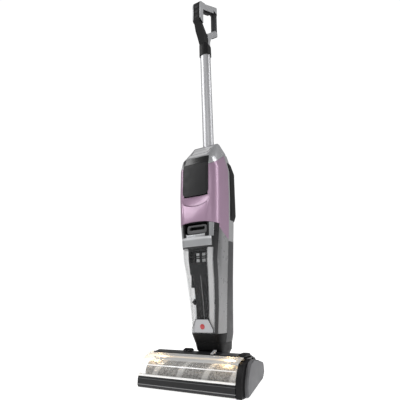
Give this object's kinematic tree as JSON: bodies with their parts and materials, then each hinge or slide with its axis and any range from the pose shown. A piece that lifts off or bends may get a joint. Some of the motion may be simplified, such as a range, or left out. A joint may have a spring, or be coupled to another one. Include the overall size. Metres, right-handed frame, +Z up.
{
  "type": "cordless upright carpet cleaner",
  "caption": "Upright carpet cleaner: brush head with clear window, reclining neck, tapered body with clear slide-out tank, lilac shell, metal pole and D-shaped handle.",
  "frame": {"origin": "on the floor under the middle of the machine's outer box", "axes": "+X to the right of a person facing the front, +Y from the brush head's front towards the user, +Z up"},
  "size_m": [0.278, 0.1726, 1.131],
  "materials": {
    "black_plastic": "fine moulded texture",
    "gloss_black": "polished",
    "grey_plastic": "satin",
    "light_grey": "satin",
    "silver_paint": "metallic satin paint",
    "lilac_paint": "metallic satin paint",
    "aluminium": "satin anodised",
    "steel": "turned",
    "rubber": "matt",
    "pile": "dense woven pile",
    "clear_plastic": "clear moulding",
    "smoked_plastic": "tinted, polished",
    "warm_lens": "lit diffuser",
    "circuit_board": "solder mask",
    "filter_media": "pleated paper"
  },
  "bodies": {
    "head": {"head_chassis": "black_plastic", "sole_plate": "black_plastic", "squeegee": "rubber", "head_top_cover": "grey_plastic", "cover_strip": "black_plastic", "led_bar": "warm_lens", "spray_bar": "black_plastic", "front_bumper": "black_plastic", "drive_housing": "black_plastic", "end_cap_right": "grey_plastic", "drive_belt": "rubber", "brush_motor": "steel", "cover_catch": "black_plastic", "cover_tab": "light_grey", "suction_duct": "black_plastic", "charge_contacts": "steel", "pivot_pin_left": "steel", "pivot_pin_right": "steel"},
    "motor_pulley_body": {"motor_pulley": "black_plastic"},
    "brush": {"brush_core": "black_plastic", "brush_pile": "pile"},
    "window": {"brush_window": "clear_plastic"},
    "window_release": {"release_button": "black_plastic"},
    "wheel_l": {"wheel_left": "black_plastic", "tyre_left": "rubber"},
    "wheel_r": {"wheel_right": "black_plastic", "tyre_right": "rubber"},
    "neck": {"neck_yoke": "black_plastic"},
    "body": {"base_seat": "black_plastic", "rear_spine": "grey_plastic", "motor_frame": "black_plastic", "front_shell": "lilac_paint", "top_collar": "silver_paint", "display_lens": "silver_paint", "sensor_band": "gloss_black", "filter_element": "filter_media", "suction_motor": "steel", "water_pump": "black_plastic", "control_board": "circuit_board", "pole": "aluminium", "handle_collar": "black_plastic", "handle_shell_left": "silver_paint", "handle_shell_right": "silver_paint", "handle_front": "black_plastic", "grip_cover": "rubber"},
    "fan": {"impeller": "black_plastic"},
    "door": {"filter_door": "black_plastic"},
    "battery": {"battery_pack": "black_plastic"},
    "tank": {"dirty_tank": "clear_plastic", "clean_tank": "smoked_plastic", "clean_tank_cap": "black_plastic", "tank_lid": "silver_paint", "separator": "gloss_black", "front_badge": "silver_paint"},
    "tank_catch": {"tank_latch": "grey_plastic"},
    "float": {"float_ring": "black_plastic"},
    "trigger_lever": {"trigger": "black_plastic"},
    "button_power": {"power_button": "rubber"},
    "button_mode_upper": {"mode_button_upper": "rubber"},
    "button_mode_lower": {"mode_button_lower": "rubber"}
  },
  "joints": [
    {"name": "brush_spin", "type": "hinge", "parent": "head", "child": "brush", "pos_m": [0, -0.0427, 0.03], "axis": [1, 0, 0], "continuous": true},
    {"name": "motor_pulley_spin", "type": "hinge", "parent": "head", "child": "motor_pulley_body", "pos_m": [0, 0.0033, 0.042], "axis": [1, 0, 0], "continuous": true},
    {"name": "wheel_left_spin", "type": "hinge", "parent": "head", "child": "wheel_l", "pos_m": [-0.0515, 0.0623, 0.024], "axis": [1, 0, 0], "continuous": true},
    {"name": "wheel_right_spin", "type": "hinge", "parent": "head", "child": "wheel_r", "pos_m": [0.0515, 0.0623, 0.024], "axis": [1, 0, 0], "continuous": true},
    {"name": "window_lift", "type": "slide", "parent": "head", "child": "window", "axis": [0, 0, 1], "range_m": [0, 0.06]},
    {"name": "window_release_press", "type": "slide", "parent": "head", "child": "window_release", "axis": [0, 0, -1], "range_m": [0, 0.0025], "stiffness_N_per_m": 600},
    {"name": "recline", "type": "hinge", "parent": "head", "child": "neck", "pos_m": [0, 0.0403, 0.04], "axis": [-1, 0, 0], "range_deg": [0, 70]},
    {"name": "swivel", "type": "hinge", "parent": "neck", "child": "body", "pos_m": [0, 0.0363, 0.095], "axis": [0, 0, 1], "range_deg": [-25, 25]},
    {"name": "impeller_spin", "type": "hinge", "parent": "body", "child": "fan", "pos_m": [0, -0.0077, 0.4], "axis": [0, 0, 1], "continuous": true},
    {"name": "filter_door_swing", "type": "hinge", "parent": "body", "child": "door", "pos_m": [0, -0.0496, 0.5394], "axis": [-1, 0, 0], "range_deg": [0, 75]},
    {"name": "battery_pull", "type": "slide", "parent": "body", "child": "battery", "axis": [0, 1, 0], "range_m": [0, 0.045]},
    {"name": "tank_slide", "type": "slide", "parent": "body", "child": "tank", "axis": [0, -1, 0], "range_m": [0, 0.12]},
    {"name": "tank_latch_press", "type": "slide", "parent": "tank", "child": "tank_catch", "axis": [0, 1, 0], "range_m": [0, 0.003], "stiffness_N_per_m": 600},
    {"name": "float_rise", "type": "slide", "parent": "tank", "child": "float", "axis": [0, -0.1747, 0.9846], "range_m": [0, 0.024]},
    {"name": "trigger_pull", "type": "hinge", "parent": "body", "child": "trigger_lever", "pos_m": [0, -0.0007, 1.066], "axis": [1, 0, 0], "range_deg": [0, 8], "stiffness_Nm_per_rad": 0.4},
    {"name": "power_button_press", "type": "slide", "parent": "body", "child": "button_power", "axis": [0, 1, 0], "range_m": [0, 0.0014], "stiffness_N_per_m": 500},
    {"name": "mode_upper_press", "type": "slide", "parent": "body", "child": "button_mode_upper", "axis": [0, 1, 0], "range_m": [0, 0.0014], "stiffness_N_per_m": 500},
    {"name": "mode_lower_press", "type": "slide", "parent": "body", "child": "button_mode_lower", "axis": [0, 1, 0], "range_m": [0, 0.0014], "stiffness_N_per_m": 500}
  ],
  "couplings": [
    {"joint": "motor_pulley_spin", "follows": "brush_spin", "ratio": 1.8571}
  ]
}
